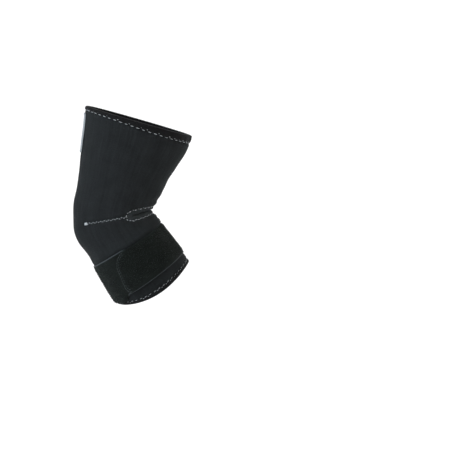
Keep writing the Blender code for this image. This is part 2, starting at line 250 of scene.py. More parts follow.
def grid_faces(rows, columns, cloth, closed_round=False, closed_down=False, keep=None, caps=False):
    """The faces of a grid of points, and their corners' places on the flat cloth. cloth holds each
    point's place, in millimetres, with one more column or row where the grid closes on itself.
    keep drops some of its quads.
    """
    i, j = np.indices((rows if closed_down else rows - 1, columns if closed_round else columns - 1))
    if keep is not None:
        i, j = i[keep], j[keep]
    i, j = i.ravel(), j.ravel()
    corners = [(i, j), (i, j + 1), (i + 1, j + 1), (i + 1, j)]
    faces = np.stack([(a % rows) * columns + b % columns for a, b in corners], axis=1).tolist()
    places = np.stack([cloth[a, b] for a, b in corners], axis=1).reshape(-1, 2)
    if caps:
        last = (rows - 1) * columns
        faces += [list(range(columns))[::-1], list(range(last, last + columns))]
        places = np.concatenate([places, cloth[0, :columns][::-1], cloth[-1, :columns]])
    return faces, places


def mesh_from(name, points, faces, places):
    mesh = bpy.data.meshes.new(name)
    mesh.from_pydata(points.reshape(-1, 3).tolist(), [], faces)
    layer = mesh.uv_layers.new(name="cloth")
    layer.uv.foreach_set("vector", places.astype(np.float32).ravel())
    mesh.update()
    return mesh


def grid_mesh(name, points, cloth, **closing):
    return mesh_from(name, points, *grid_faces(*points.shape[:2], cloth, **closing))


def flat_places(across, down):
    """Places on the cloth for a plain grid: columns at across, rows at down, both in metres."""
    return np.stack(np.meshgrid(np.asarray(across) / MM, np.asarray(down) / MM), axis=-1)


def thread_mesh(name, runs, radius, sides=6):
    """Round threads in one mesh. Each run is its points, the cloth's normals there, and if it closes."""
    vertices, faces, places = [], [], []
    turn = np.linspace(0, TURN, sides, endpoint=False)[:, None]
    start = 0
    for points, normals, closed in runs:
        if closed:
            along = unit(np.roll(points, -1, axis=0) - np.roll(points, 1, axis=0))
        else:
            along = unit(np.gradient(points, axis=0))
        side = unit(np.cross(along, normals))
        up = np.cross(side, along)
        ring = np.cos(turn) * up[:, None] + np.sin(turn) * side[:, None]
        vertices.append((points[:, None] + radius * ring).reshape(-1, 3))
        lengths = walked(points)
        cloth = flat_places(np.linspace(0, MM, sides + 1), np.append(lengths, lengths[-1]))
        run_faces, run_places = grid_faces(
            len(points), sides, cloth, closed_round=True, closed_down=closed, caps=not closed
        )
        if not closed:
            # The cut ends show one spot of the thread's pattern.
            run_places[-2 * sides :] = (0.5, 0.0)
        faces += [[start + corner for corner in face] for face in run_faces]
        places.append(run_places)
        start += len(vertices[-1])
    return mesh_from(name, np.concatenate(vertices), faces, np.concatenate(places))


# Materials

def linear(hex_colour):
    """An sRGB hex colour as the linear values that a shader takes."""
    parts = [int(hex_colour[k : k + 2], 16) / 255 for k in (1, 3, 5)]
    return tuple(c / 12.92 if c <= 0.04045 else ((c + 0.055) / 1.055) ** 2.4 for c in parts) + (1.0,)


def new_material(name):
    made = bpy.data.materials.new(name)
    made.use_nodes = True
    made.node_tree.nodes.clear()
    return made


def add(finish, kind, inputs, **settings):
    """Adds a node. Each of inputs is a value for a socket, the socket of another node that links to
    it, or that node itself for its first output.
    """
    made = finish.node_tree.nodes.new("ShaderNode" + kind)
    for name, value in settings.items():
        setattr(made, name, value)
    for key, value in inputs.items():
        if isinstance(value, bpy.types.Node):
            value = value.outputs[0]
        if isinstance(value, bpy.types.NodeSocket):
            finish.node_tree.links.new(value, made.inputs[key])
        else:
            made.inputs[key].default_value = value
    return made


def close_material(finish, share, dark, light, height, depth_mm, values, invert=False):
    """Ends a material: its colour goes from dark to light by share, its relief follows height, and
    values are the other inputs of its shader.
    """
    mixing = {0: share, 6: linear(dark), 7: linear(light)}
    colour = add(finish, "Mix", mixing, data_type="RGBA")
    bumps = {"Height": height, "Strength": 1.0, "Distance": depth_mm * MM}
    relief = add(finish, "Bump", bumps, invert=invert)
    inputs = {"Base Color": colour.outputs[2], "Normal": relief, **values}
    shader = add(finish, "BsdfPrincipled", inputs)
    add(finish, "OutputMaterial", {"Surface": shader})
    return finish


def jersey_over_foam(name, dark, light, wale_mm, course_mm, relief_mm):
    """Nylon jersey bonded to foam rubber: upright wales of small loops, dull, a little paler at the rim."""
    finish = new_material(name)
    cloth = add(finish, "UVMap", {}, uv_map="cloth")
    place = add(finish, "SeparateXYZ", {0: cloth})
    across = add(finish, "Math", {0: place.outputs["X"], 1: 1 / wale_mm}, operation="MULTIPLY")
    in_wale = add(finish, "Math", {0: across}, operation="FRACT")
    from_middle = add(finish, "Math", {0: in_wale, 1: 0.5}, operation="PINGPONG")
    ridge_turn = add(finish, "Math", {0: in_wale, 1: math.pi}, operation="MULTIPLY")
    ridge = add(finish, "Math", {0: ridge_turn}, operation="SINE")
    # Each loop is a V, so its course leans by the distance from the wale's middle.
    down = add(finish, "Math", {0: place.outputs["Y"], 1: TURN / course_mm}, operation="MULTIPLY")
    lean = add(finish, "Math", {0: from_middle, 1: 5.0, 2: down}, operation="MULTIPLY_ADD")
    loops = add(finish, "Math", {0: lean}, operation="SINE")
    loop_share = add(finish, "Math", {0: loops, 1: 0.3, 2: 0.7}, operation="MULTIPLY_ADD")
    height = add(finish, "Math", {0: ridge, 1: loop_share}, operation="MULTIPLY")
    # Clouds 18 mm across, from wear and dye, and a grain of 1.4 mm, about two loops
    spot = add(finish, "TexCoord", {}).outputs["Object"]
    cloudy = add(finish, "TexNoise", {"Vector": spot, "Scale": 55.0, "Detail": 4.0, "Roughness": 0.6})
    grain = add(finish, "TexNoise", {"Vector": spot, "Scale": 700.0, "Detail": 2.0, "Roughness": 0.6})
    # Some wales lie a little slacker than others, which streaks the cloth in lines 3 by 70 mm.
    drawn_out = add(finish, "Mapping", {"Vector": cloth, "Scale": (0.35, 0.014, 1.0)})
    streaks = add(finish, "TexNoise", {"Vector": drawn_out, "Scale": 1.0, "Detail": 3.0, "Roughness": 0.6})
    shade = add(finish, "Math", {0: cloudy, 1: grain}, operation="ADD")
    streaky = add(finish, "Math", {0: streaks, 1: 1.2, 2: shade}, operation="MULTIPLY_ADD")
    even = add(finish, "MapRange", {"Value": streaky, "From Min": 1.25, "From Max": 1.95})
    bumps = add(finish, "Math", {0: grain, 1: 0.5, 2: height}, operation="MULTIPLY_ADD")
    values = {
        "Roughness": add(finish, "MapRange", {"Value": cloudy, "To Min": 0.72, "To Max": 0.9}),
        "Specular IOR Level": 0.07,
        "Sheen Weight": 0.01,
        "Sheen Roughness": 0.5,
        "Sheen Tint": linear("#c4ccd2"),
    }
    return close_material(finish, even, dark, light, bumps, relief_mm, values)


def ribbed_tape():
    """Woven polyester tape, folded over the edge: fine ribs across it, dull black."""
    finish = new_material("ribbed_polyester_tape")
    cloth = add(finish, "UVMap", {}, uv_map="cloth")
    # Ribs at 1.1 mm, about twice the real pitch, so that they show
    wave = {"Vector": cloth, "Scale": 0.29, "Distortion": 0.6, "Detail": 1.0}
    ribs = add(finish, "TexWave", wave, bands_direction="X").outputs["Fac"]
    spot = add(finish, "TexCoord", {}).outputs["Object"]
    grain = add(finish, "TexNoise", {"Vector": spot, "Scale": 420.0, "Detail": 3.0, "Roughness": 0.6})
    heights = add(finish, "Math", {0: grain, 1: 0.7, 2: ribs}, operation="MULTIPLY_ADD")
    values = {
        "Roughness": add(finish, "MapRange", {"Value": grain, "To Min": 0.65, "To Max": 0.9}),
        "Specular IOR Level": 0.06,
        "Sheen Weight": 0.02,
        "Sheen Roughness": 0.4,
    }
    return close_material(finish, grain, "#060707", "#0e0f10", heights, 0.12, values)


def loop_pile():
    """Brushed nylon loops for hooks to catch: a fine curly fuzz, with painted shade between the tufts."""
    finish = new_material("brushed_nylon_loop_pile")
    spot = add(finish, "TexCoord", {}).outputs["Object"]
    # Tufts at 2 mm and brushed patches at 10 mm, both about twice the real ones, so that they show
    curly = {"Vector": spot, "Scale": 480.0, "Detail": 4.0, "Roughness": 0.7, "Distortion": 0.9}
    tufts = add(finish, "TexNoise", curly)
    patches = add(finish, "TexNoise", {"Vector": spot, "Scale": 95.0, "Detail": 3.0, "Roughness": 0.6})
    # The colour darkens where the tufts' relief is low, which is painted shade between the tufts. The
    # patches vary its tone.
    mixed = add(finish, "Math", {0: patches, 1: 0.6, 2: tufts}, operation="MULTIPLY_ADD")
    even = add(finish, "MapRange", {"Value": mixed, "From Min": 0.58, "From Max": 1.05})
    values = {
        "Roughness": 0.95,
        "Specular IOR Level": 0.08,
        "Sheen Weight": 0.03,
        "Sheen Roughness": 0.6,
        "Sheen Tint": linear("#b8c4c2"),
    }
    return close_material(finish, even, "#020403", "#0b100e", tufts, 0.9, values)


def selvedge_with_painted_highlight():
    """The strap's woven edge, without pile: tight and flat, paler than the loops partly by its own colour
    and partly as a painted highlight for the light its rounded edge catches.
    """
    finish = new_material("woven_nylon_selvedge_and_painted_highlight")
    cloth = add(finish, "UVMap", {}, uv_map="cloth")
    # Picks at 0.9 mm, about twice the real pitch, so that they show
    wave = {"Vector": cloth, "Scale": 0.35, "Distortion": 1.0, "Detail": 1.0}
    weave = add(finish, "TexWave", wave, bands_direction="X").outputs["Fac"]
    values = {"Roughness": 0.7, "Specular IOR Level": 0.2, "Sheen Weight": 0.05, "Sheen Roughness": 0.4}
    return close_material(finish, weave, "#15191b", "#252b2e", weave, 0.1, values)


def hook_nylon():
    """Moulded nylon hooks on a tape: rows of tiny stiff hooks, slightly shiny."""
    finish = new_material("moulded_nylon_hooks")
    spot = add(finish, "TexCoord", {}).outputs["Object"]
    # Hooks at 1.4 mm, as on real tape
    hooks = add(finish, "TexVoronoi", {"Vector": spot, "Scale": 720.0, "Randomness": 0.35})
    return close_material(finish, hooks, "#26292a", "#0d0e0e", hooks, 0.4, {"Roughness": 0.45}, invert=True)


def twisted_thread(name, pale, dull, gloss, sheen):
    """Twisted polyester sewing thread, or a nylon fibre: round, with the slant of its plies."""
    finish = new_material(name)
    place = add(finish, "SeparateXYZ", {0: add(finish, "UVMap", {}, uv_map="cloth")})
    # One ply passes every 0.9 mm, so the slant is one turn of the thread in that.
    along, around = place.outputs["Y"], place.outputs["X"]
    slant = add(finish, "Math", {0: along, 1: 1 / 0.9, 2: around}, operation="MULTIPLY_ADD")
    turned = add(finish, "Math", {0: slant, 1: TURN}, operation="MULTIPLY")
    plies = add(finish, "Math", {0: turned}, operation="SINE")
    share = add(finish, "MapRange", {"Value": plies, "From Min": -1.0, "From Max": 1.0})
    values = {
        "Roughness": 0.5,
        "Specular IOR Level": gloss,
        "Sheen Weight": sheen,
        "Sheen Roughness": 0.3,
    }
    return close_material(finish, share, dull, pale, share, 0.08, values)


def satin_label():
    """Woven satin: light grey with a fine crosswise thread and a soft gloss."""
    finish = new_material("woven_satin")
    cloth = add(finish, "UVMap", {}, uv_map="cloth")
    # Threads at 0.7 mm, some four times the real pitch, so that they show, and clouds of 6 mm
    wave = {"Vector": cloth, "Scale": 0.45, "Distortion": 0.4, "Detail": 1.0}
    threads = add(finish, "TexWave", wave, bands_direction="Y").outputs["Fac"]
    spot = add(finish, "TexCoord", {}).outputs["Object"]
    cloudy = add(finish, "TexNoise", {"Vector": spot, "Scale": 160.0, "Detail": 3.0})
    mixed = add(finish, "Math", {0: threads, 1: 0.5, 2: cloudy}, operation="MULTIPLY_ADD")
    values = {"Roughness": 0.5, "Specular IOR Level": 0.3, "Sheen Weight": 0.05, "Sheen Roughness": 0.3}
    return close_material(finish, mixed, "#565b5e", "#6a7073", threads, 0.06, values)


def foam_edge():
    """Cut foam rubber: matt black with tiny open cells."""
    finish = new_material("cut_foam_rubber")
    spot = add(finish, "TexCoord", {}).outputs["Object"]
    # Cells at 0.7 mm, about twice the real ones, so that they show
    cells = add(finish, "TexVoronoi", {"Vector": spot, "Scale": 1500.0})
    return close_material(finish, cells, "#0c0d0d", "#1c1e1f", cells, 0.15, {"Roughness": 0.95})


def studio_paper():
    """Matt white background paper."""
    finish = new_material("white_studio_paper")
    spot = add(finish, "TexCoord", {}).outputs["Object"]
    mottle = add(finish, "TexNoise", {"Vector": spot, "Scale": 3.0, "Detail": 2.0})
    mixing = {0: mottle, 6: linear("#fbfbfb"), 7: linear("#ffffff")}
    colour = add(finish, "Mix", mixing, data_type="RGBA")
    shader = add(finish, "BsdfPrincipled", {"Base Color": colour.outputs[2], "Roughness": 1.0})
    add(finish, "OutputMaterial", {"Surface": shader})
    return finish


# The sleeve's wales and courses are about twice the real ones, so that they show.
WALE_MM = 1.2
COURSE_MM = 1.5
JERSEY = jersey_over_foam("nylon_jersey_on_foam_rubber", "#0b0e0f", "#151819", WALE_MM, COURSE_MM, 0.10)
LINING = jersey_over_foam("nylon_jersey_lining", "#0b0d0f", "#151819", WALE_MM, COURSE_MM, 0.10)
STRETCH_KNIT = jersey_over_foam("thin_stretch_knit", "#141718", "#232728", 0.9, 1.1, 0.12)
TAPE_CLOTH = ribbed_tape()
PILE = loop_pile()
SELVEDGE = selvedge_with_painted_highlight()
HOOKS = hook_nylon()
HEM_THREAD = twisted_thread("polyester_hem_thread", "#8b9193", "#626769", 0.5, 0.2)
EDGE_THREAD = twisted_thread("polyester_edge_thread", "#969c9f", "#6a6f72", 0.5, 0.2)
SEAM_THREAD = twisted_thread("polyester_seam_thread", "#999fa2", "#6b7174", 0.5, 0.2)
TONGUE_THREAD = twisted_thread("nylon_strap_thread", "#333a3b", "#1d2223", 0.2, 0.05)
PILE_FIBRE = twisted_thread("nylon_pile_fibre", "#181f1c", "#0d1110", 0.15, 0.0)
SATIN = satin_label()
FOAM = foam_edge()
PAPER = studio_paper()


# Sleeve

def oval_half_height(angles, inset):
    """Half the height of the oval at the crook, and nothing beyond its tips."""
    end = OVAL_HALF_ANGLE - inset / OVAL_RADIUS
    away = from_front(angles)
    swell = smooth_step(away / (OVAL_HALF_ANGLE - OVAL_CAP_ANGLE))
    height = OVAL_HALF_HEIGHT_AT_FRONT * (1 - swell) + OVAL_HALF_HEIGHT_AT_SIDE * swell
    into_cap = np.clip((away - end + OVAL_CAP_ANGLE) / OVAL_CAP_ANGLE, 0, 1)
    closing = np.maximum(np.maximum(1 - into_cap**2.4, 0) ** 0.45, OVAL_TIP_SHARE)
    return np.where(away < end + 1e-6, (height - inset) * closing, 0)


def seam_station(angles):
    """The line round the tube that the oval's middle and the dart seam lie on."""
    away = from_front(angles)
    falling = (1 - np.cos(away)) / (1 - math.cos(OVAL_HALF_ANGLE))
    in_oval = OVAL_MIDDLE_AT_FRONT + OVAL_MIDDLE_FALL * falling
    beyond = np.interp(away, DART_ANGLES, DART_DROPS)
    return STATION["crook"] + np.where(away < OVAL_HALF_ANGLE, in_oval, beyond)


def tuck_at(stations, angles):
    """How far the sleeve is pressed in under its two tapes."""
    tuck = 0
    for edge in ("top_edge", "bottom_edge"):
        beyond = to_edge(edge, stations, angles) / tape_width(edge, angles) - TUCK_FULL_TO
        tuck = np.maximum(tuck, 1 - smooth_step(beyond / (TUCK_GONE_BY - TUCK_FULL_TO)))
    return tuck * EDGE_TUCK


# Slow swells of the cloth: waves round the tube, millimetres to a wave down it, phase, height
SWELLS = [
    (2, 61, 0.4, 0.16),
    (3, 37, 2.1, 0.13),
    (5, 47, 4.0, 0.10),
    (7, 23, 1.2, 0.06),
    (11, 19, 5.1, 0.04),
]


def swell_at(stations, angles):
    total = 0
    for waves, length, phase, height in SWELLS:
        down = TURN * stations / (length * MM)
        total = total + height * MM * np.sin(waves * angles + down * (-1) ** waves + phase)
    return total


# How strongly the cloth is squeezed up by the strap, in millimetres: beside it, and at the crook
BULGE_ABOVE_STRAP = 0.8
BULGE_BELOW_STRAP = 0.5
RUN_UP_AT_CROOK = 3.2
PRESSED_BY_STRAP = 0.5

# The angle from the front where the cloth runs up most
RUN_UP_ANGLE = 0.93


def sleeve_relief(stations, angles):
    """How far the jersey stands off the plain form, by its seam, its folds and what presses on it."""
    away = from_front(angles)
    scale = stretch(stations, angles)
    to_seam = (stations - seam_station(angles)) * scale
    off_seam = np.abs(to_seam)
    past_oval = smooth_step((away - OVAL_HALF_ANGLE) / 0.1)
    on_dart = past_oval * smooth_step((DART_END + 0.05 - away) / 0.1)
    pucker = 1 + 0.25 * np.sin(away * 83.6)
    furrow = 0.3 * bell((off_seam - 3.6 * MM) / (2.0 * MM)) - 0.8 * bell(to_seam / (1.5 * MM))
    groove = on_dart * pucker * furrow
    past_rim = off_seam - oval_half_height(angles, 0)
    rim = -0.7 * bell(past_rim / (1.6 * MM)) * (away < OVAL_HALF_ANGLE + 0.03)
    # Soft folds beside the crook, which die away round the side
    crook = smooth_step(1.15 - away / 1.25)
    fading = crook * np.exp(-off_seam / (22 * MM))
    folds = 0.3 * fading * np.sin(TURN * (off_seam - 3 * MM) / (15 * MM))
    # The strap presses the cloth in at its edges, and it bulges beside them.
    at_crook = bell((away - RUN_UP_ANGLE) / 0.6)
    above_strap = (STATION["strap_top"] - stations) * scale + 2.4 * MM * at_crook
    below_strap = (stations - STATION["strap_bottom"]) * scale
    squeeze = 0
    for gap, height, pressing in (
        (above_strap, BULGE_ABOVE_STRAP, 0.4 - 0.4 * at_crook),
        (below_strap, BULGE_BELOW_STRAP, 0.4),
    ):
        pressed = -pressing * bell(gap / (1.2 * MM))
        bulge = height * bell((gap - 5.5 * MM) / (4.5 * MM))
        squeeze = squeeze + pressed + bulge * (gap > 0)
    # Near the crook the cloth runs up against the strap's edge.
    past_crest = above_strap - 1.4 * MM
    run_up = bell(past_crest / np.where(past_crest > 0, 9.0, 1.8) / MM)
    squeeze = squeeze + RUN_UP_AT_CROOK * at_crook * run_up
    # The bend squeezes the cloth out into a lip above the oval and another below it.
    upper_lip = 1.2 * bell((to_seam + 8.5 * MM) / (3 * MM))
    lower_lip = 1.1 * bell((to_seam - 9 * MM) / (3.5 * MM))
    lips = (upper_lip + lower_lip) * bell(away / 0.6)
    below_crook = stations - STATION["crook"] - 4 * MM
    elbow_point = 1.2 * bell(below_crook / (26 * MM)) * bell((math.pi - away) / 0.8)
    # The hems' stitches pull small dents into the cloth beside the tapes.
    pucker_at_hem = 0
    for edge, repeats in (("top_edge", 43), ("bottom_edge", 41)):
        past_tape = to_edge(edge, stations, angles) - tape_width(edge, angles)
        pull = 0.55 + 0.45 * np.sin(repeats * angles)
        pucker_at_hem = pucker_at_hem - 0.3 * pull * bell((past_tape - 1.8 * MM) / (1.5 * MM))
    under_strap = (above_strap < 0) & (below_strap < 0)
    squeeze = np.where(under_strap, -PRESSED_BY_STRAP, squeeze)
    swell = np.where(under_strap, 0, swell_at(stations, angles))
    return (groove + rim + folds + squeeze + lips + pucker_at_hem + elbow_point) * MM + swell


SLEEVE_COLUMNS = 216
ROWS_ABOVE_SEAM = 84
ROWS_BELOW_SEAM = 76
SEAM_HALF_GAP = 0.15 * MM
SEAM_BLEND = 34 * MM
WALES_ROUND = 220


def sleeve_stations(angles):
    """Rows down the tube that part at the oval, so that two of them are its upper and lower outline."""
    plain_seam = STATION["crook"] + OVAL_MIDDLE_FALL / 2
    seam = seam_station(angles)
    half = np.maximum(oval_half_height(angles, 0), SEAM_HALF_GAP) / stretch(seam, angles)
    above = np.linspace(0, plain_seam, ROWS_ABOVE_SEAM)[:, None]
    below = np.linspace(plain_seam, STATION["bottom_edge"], ROWS_BELOW_SEAM)[:, None]
    upper_pull = smooth_step(1 - (plain_seam - above) / SEAM_BLEND)
    lower_pull = smooth_step(1 - (below - plain_seam) / SEAM_BLEND)
    upper = above + upper_pull * (seam - half - plain_seam)
    lower = below + lower_pull * (seam + half - plain_seam)
    return np.concatenate([upper, lower])


def make_sleeve():
    angles = np.linspace(0, TURN, SLEEVE_COLUMNS, endpoint=False)
    stations = sleeve_stations(angles)
    offset = sleeve_relief(stations, angles) - tuck_at(stations, angles)
    points = off_skin(stations, angles, offset)
    across = np.linspace(0, WALES_ROUND * WALE_MM, SLEEVE_COLUMNS + 1)
    row_steps = np.linalg.norm(np.diff(points, axis=0), axis=2).mean(axis=1)
    down = np.concatenate([[0], np.cumsum(row_steps)])
    keep = np.ones((len(stations) - 1, SLEEVE_COLUMNS), bool)
    middle_of_column = angles + TURN / SLEEVE_COLUMNS / 2
    keep[ROWS_ABOVE_SEAM - 1, from_front(middle_of_column) < OVAL_HALF_ANGLE] = False
    cloth = flat_places(across * MM, down)
    mesh = grid_mesh("sleeve_jersey", points, cloth, closed_round=True, keep=keep)
    piece = new_piece("sleeve_jersey", mesh, [JERSEY, LINING, FOAM], ["sleeve"])
    wall = piece.modifiers.new("wall", "SOLIDIFY")
    wall.thickness = WALL
    wall.offset = -1
    wall.use_even_offset = True
    wall.material_offset = 1
    wall.material_offset_rim = 2
    return piece


# Insert at the crook

def make_crook_insert():
    rows, columns = 29, 121
    inset = 0.2 * MM
    end = OVAL_HALF_ANGLE - inset / OVAL_RADIUS
    even = np.linspace(-1, 1, columns)
    angles = end * (0.55 * np.sin(even * math.pi / 2) + 0.45 * even)
    share = np.linspace(-1, 1, rows)[:, None]
    middle = seam_station(angles)
    half = oval_half_height(angles, inset)
    stations = middle + share * half / stretch(middle, angles)
    fullness = np.clip(half / OVAL_HALF_HEIGHT_AT_SIDE, 0, 1)
    # The bend folds the insert into a narrow slit between two soft lips.
    fold = smooth_step((math.radians(66) - from_front(angles)) / math.radians(22))
    slit = 3.6 * bell(share / 0.17) * fold
    lips = -0.9 * bell((np.abs(share) - 0.5) / 0.24) * fold
    gathers = 0.16 * np.sin(angles * 46) * (1 - np.abs(share)) + 0.1 * np.sin(angles * 83 + share * 3)
    depth = INSERT_RECESS + (slit + lips + gathers) * fullness * MM
    outer = off_skin(stations, angles, -depth)
    inner = off_skin(stations, angles, -depth - INSERT_THICKNESS)
    ring = np.concatenate([outer, inner[::-1]])
    across = np.concatenate([np.linspace(0, 13.5, rows), np.linspace(14.7, 28.2, rows), [29.4]]) * MM
    cloth = flat_places(across[::-1], walked(outer[rows // 2]))
    points = np.swapaxes(ring, 0, 1)[:, ::-1]
    mesh = grid_mesh("crook_insert", points, cloth, closed_round=True, caps=True)
    return new_piece("crook_insert", mesh, [STRETCH_KNIT], ["crook_panel"])


# Tapes folded over the hems

TAPE_COLUMNS = 288


def make_tape(name, edge, node):
    angles = np.linspace(0, TURN, TAPE_COLUMNS, endpoint=False)
    outer = -EDGE_TUCK + CLEARANCE + TAPE
    inner = -EDGE_TUCK - WALL - CLEARANCE - TAPE
    # Stitches pull the tape in, so its edge waves a little and it swells in between.
    wave = 0.18 * MM * np.sin(angles * 47) + 0.12 * MM * np.sin(angles * 19 + 1)
    swell = 0.22 * MM * np.sin(angles * 31 + 2) + 0.12 * MM * np.sin(angles * 13)
    width = tape_width(edge, angles) + wave
    rounding = 0.35 * MM
    profile = []
    for share in (1.0, 0.8, 0.6, 0.4, 0.2, 0.06):
        crown = (rounding + swell) * math.sin(math.pi * share)
        edge_drop = rounding if share == 1.0 else 0
        profile.append((share * width, outer + crown - edge_drop))
    for turn in np.linspace(0.12, math.pi - 0.12, 9):
        reach = (CLEARANCE + TAPE) * math.sin(turn) ** 0.7
        profile.append((-reach, (outer + inner) / 2 + (outer - inner) / 2 * math.cos(turn)))
    for share, height in (
        (0.06, inner), (0.35, inner), (0.7, inner), (1.0, inner + 0.3 * MM),
        (1.0, inner + TAPE), (0.7, inner + TAPE), (0.3, inner + TAPE),
    ):
        profile.append((share * width, height))
    profile.append((-CLEARANCE, -EDGE_TUCK - WALL / 2))
    for share in (0.3, 0.7, 1.0):
        profile.append((share * width, outer - TAPE))
    points = np.array([off_skin(from_edge(edge, angles, at), angles, height) for at, height in profile])
    if edge == "top_edge":
        points = points[::-1]
    round_it = walked(np.append(points[0], points[0][:1], axis=0))
    down = walked(points[:, 0])
    cloth = flat_places(round_it, np.append(down, down[-1] + TAPE))
    mesh = grid_mesh(name, points, cloth, closed_round=True, closed_down=True)
    return new_piece(name, mesh, [TAPE_CLOTH], [node])


# Zigzag stitching along the hems

STITCH_POINTS = 20

# One repeat of a stitch: the share along it of each needle hole, which side of the line the hole
# is on, and how high the thread stands in the run after it, below 0 where it passes inside the cloth
TOP_STITCH = [(0.0, -1.0, 1.0), (0.42, -1.0, -0.3), (0.55, 1.0, 0.7), (0.80, 1.0, -0.3), (1.0, -1.0, 1.0)]
DOT_STITCH = [(0.0, -1.0, 1.0), (0.32, -0.3, -0.3), (0.5, 1.0, 1.0), (0.82, 0.3, -0.3), (1.0, -1.0, 1.0)]
OVAL_STITCH = [(0.0, -1.0, 1.0), (0.23, 0.0, -0.5), (0.5, 1.0, 1.0), (0.73, 0.0, -0.5), (1.0, -1.0, 1.0)]

# Each hem's stitch, a repeat's length, its reach to either side, and how far it is off the tape's edge
HEM_STITCHES = {
    "top_edge": (TOP_STITCH, 6.9 * MM, 0.8 * MM, -0.7 * MM),
    "bottom_edge": (DOT_STITCH, 6.2 * MM, 0.7 * MM, -0.5 * MM),
}


def hem_surface(edge, angles, distance, outside):
    """The height of the cloth beside an edge: the tape, or past it the sleeve."""
    past_tape = smooth_step((distance - tape_width(edge, angles) + 0.1 * MM) / (0.5 * MM))
    if outside:
        tucked = tuck_at(from_edge(edge, angles, distance), angles)
        return (-EDGE_TUCK + CLEARANCE + TAPE) * (1 - past_tape) - tucked * past_tape
    inner = -EDGE_TUCK - WALL
    return (inner - CLEARANCE - TAPE) * (1 - past_tape) + inner * past_tape


def zigzag(stitch, periods, points_each):
    """Shares along, sides from -1 to 1, and how high the thread stands, 0 at the needle holes."""
    phase = np.arange(points_each) / points_each
    holes, sides, heights = np.array(stitch).T
    side = np.interp(phase, holes, sides)
    last = np.searchsorted(holes, phase, side="right") - 1
    span = holes[last + 1] - holes[last]
    arch = np.sin(math.pi * (phase - holes[last]) / span) ** 0.6 * heights[last]
    along = (np.arange(periods)[:, None] + phase).ravel()
    return along / periods, np.tile(side, periods), np.tile(arch, periods)


def make_hem_zigzag(name, edge, radius, outside=True):
    stitch, period, reach, shift = HEM_STITCHES[edge]
    round_it = np.linspace(0, TURN, 721)
    lengths = walked(skin(from_edge(edge, round_it, tape_width(edge, round_it)), round_it))
    periods = round(lengths[-1] / period)
    share, side, arch = zigzag(stitch, periods, STITCH_POINTS)
    rng = np.random.default_rng(7)
    uneven = 1 + 0.12 * rng.standard_normal(periods).repeat(STITCH_POINTS)
    angles = np.interp(share * lengths[-1], lengths, round_it)
    distance = tape_width(edge, angles) + shift - side * reach * uneven
    lift = radius * (2.2 * arch - 1.6) * (1 if outside else -1)
    if edge == "bottom_edge" and outside:
        # Beside the strap the tape has rolled over its stitches.
        lift = lift - 0.9 * radius * bell((from_front(angles) - math.radians(124)) / math.radians(14))
    stations = from_edge(edge, angles, distance)
    points = off_skin(stations, angles, hem_surface(edge, angles, distance, outside) + lift)
    mesh = thread_mesh(name, [(points, outward(stations, angles), True)], radius)
    return new_piece(name, mesh, [HEM_THREAD])


# Stitching at the crook

def oval_outline(count, inset):
    """Angles and stations once round the oval, evenly walked, and the whole way's length."""
    angles = (OVAL_HALF_ANGLE - inset / OVAL_RADIUS) * np.cos(np.linspace(0, math.pi, 200))
    middle = seam_station(angles)
    half = oval_half_height(angles, inset) / stretch(middle, angles)
    upper = np.stack([angles, middle - half], axis=1)
    lower = np.stack([angles, middle + half], axis=1)[::-1]
    line_angles, line_stations = np.concatenate([upper, lower]).T
    lengths = walked(skin(line_stations, line_angles))
    even = np.linspace(0, lengths[-1], count, endpoint=False)
    at_angles = np.interp(even, lengths, line_angles)
    return at_angles, np.interp(even, lengths, line_stations), lengths[-1]


def make_oval_zigzag():
    """A zigzag over the oval's edge, of which short slanted bars show."""
    radius = 0.30 * MM
    inset = 0.1 * MM
    _, _, length = oval_outline(400, inset)
    share, side, arch = zigzag(OVAL_STITCH, round(length / (7.2 * MM)), 28)
    angles, stations, _ = oval_outline(len(share), inset)
    from_middle = np.sign(stations - seam_station(angles))
    distance = 0.7 * MM * side
    near_tip = smooth_step((from_front(angles) - OVAL_HALF_ANGLE + 0.12) / 0.12)
    shifted = stations + from_middle * distance * (1 - near_tip) / stretch(stations, angles)
    turned = angles + np.sign(angles) * distance * near_tip / OVAL_RADIUS
    points = off_skin(shifted, turned, -0.5 * MM + radius * (2.2 * arch - 1.2))
    mesh = thread_mesh("oval_zigzag", [(points, outward(shifted, turned), True)], radius)
    return new_piece("oval_zigzag", mesh, [EDGE_THREAD])


def seam_run(angles, aside, lift):
    """A run of thread over the dart's seam, from how far it lies aside of it and stands off the cloth."""
    middle = seam_station(angles)
    stations = middle + aside / stretch(middle, angles)
    points = off_skin(stations, angles, sleeve_relief(stations, angles) + lift)
    return points, outward(stations, angles), False


def make_dart_stitches():
    """A narrow zigzag that closes the dart on either side of the tube."""
    radius = 0.24 * MM
    span = np.linspace(OVAL_HALF_ANGLE - 0.01, DART_END, 400)
    lengths = walked(skin(seam_station(span), span))
    share, beat, arch = zigzag(DOT_STITCH, round(lengths[-1] / (4.8 * MM)), STITCH_POINTS)
    away = np.interp(share * lengths[-1], lengths, span)
    lift = radius * (2.2 * arch - 1.4)
    runs = [seam_run(side_of_tube * away, beat * 0.75 * MM, lift) for side_of_tube in (1, -1)]
    mesh = thread_mesh("dart_stitches", runs, radius)
    return new_piece("dart_stitches", mesh, [SEAM_THREAD])


def make_dart_tacks():
    """The tacks that end the dart: a few tight crosswise stitches, one over the next."""
    radius = 0.33 * MM
    t = np.linspace(0, 1, 90)
    beat = np.sin(TURN * t * 5.5)
    away = DART_END + 0.01 + (t - 0.5) * 2.9 * MM / OVAL_RADIUS
    lift = radius * (1.6 - 0.9 * np.abs(beat) ** 3)
    runs = [seam_run(side_of_tube * away, beat * 1.25 * MM, lift) for side_of_tube in (1, -1)]
    mesh = thread_mesh("dart_tacks", runs, radius)
    return new_piece("dart_tacks", mesh, [SEAM_THREAD])


# The strap and the patches that lie on the sleeve

def corner_inset(to_end, radius):
    """How far a rounded corner holds a side back, at a distance from the end."""
    reach = np.clip(radius - to_end, 0, radius)
    return radius - np.sqrt(np.maximum(radius**2 - reach**2, 0))


